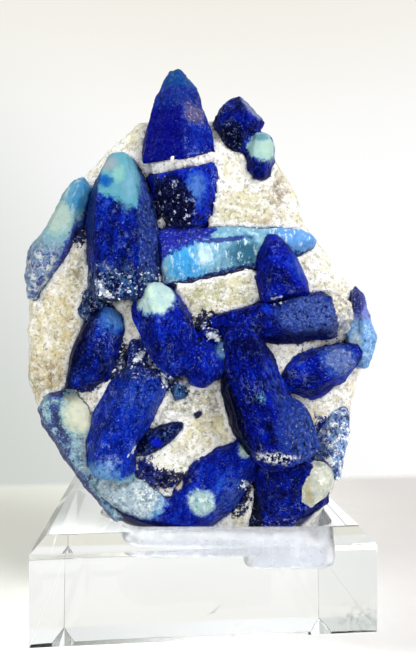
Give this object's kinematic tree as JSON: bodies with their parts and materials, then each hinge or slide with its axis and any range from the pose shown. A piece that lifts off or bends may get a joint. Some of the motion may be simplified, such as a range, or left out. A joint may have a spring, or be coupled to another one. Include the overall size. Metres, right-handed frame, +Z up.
{
  "type": "afghanite crystal specimen on an acrylic block",
  "caption": "Deep blue and pale teal prismatic crystals grown in a slab of white marble, standing upright in the milled pocket of a clear bevelled acrylic block.",
  "frame": {"origin": "middle of the acrylic block's underside", "axes": "+X to the right along the block's front edge, +Y to the back, +Z up; the stone's face looks towards -Y, turned 5.1 degrees towards -X"},
  "size_m": [0.0692, 0.0681, 0.1074],
  "materials": {
    "clear_acrylic": null,
    "white_marble": null,
    "cream_calcite": "waxy cream calcite",
    "deep_blue": "ultramarine crystal, satin with frosted patches",
    "navy_blue": "navy crystal, satin with pale specks",
    "teal_blue": "pale teal crystal with a dark blue end, waxy",
    "pale_blue": "pale teal and lavender crystal, waxy",
    "slate_blue": "grey-blue frosted crystal"
  },
  "bodies": {
    "root": {"acrylic_block": "clear_acrylic", "marble_matrix": "white_marble", "calcite_knob": "cream_calcite", "crossed_pair_crystals": "deep_blue", "centre_cluster_crystals": "deep_blue", "low_left_crystal": "deep_blue", "right_bullet_crystal": "deep_blue", "almond_crystal": "deep_blue", "spear_tip_crystal": "deep_blue", "foot_left_crystals": "deep_blue", "left_prism_crystal": "navy_blue", "left_small_crystal": "navy_blue", "foot_right_crystal": "navy_blue", "spear_foot_crystal": "navy_blue", "corner_pair_crystals": "navy_blue", "splinter_crystal": "navy_blue", "shelf_teal_crystal": "teal_blue", "pale_rim_crystal": "pale_blue", "left_pale_crystal": "pale_blue", "rim_pale_crystal": "pale_blue", "speckled_crystal": "slate_blue", "bud_crystal": "slate_blue"}
  },
  "joints": []
}
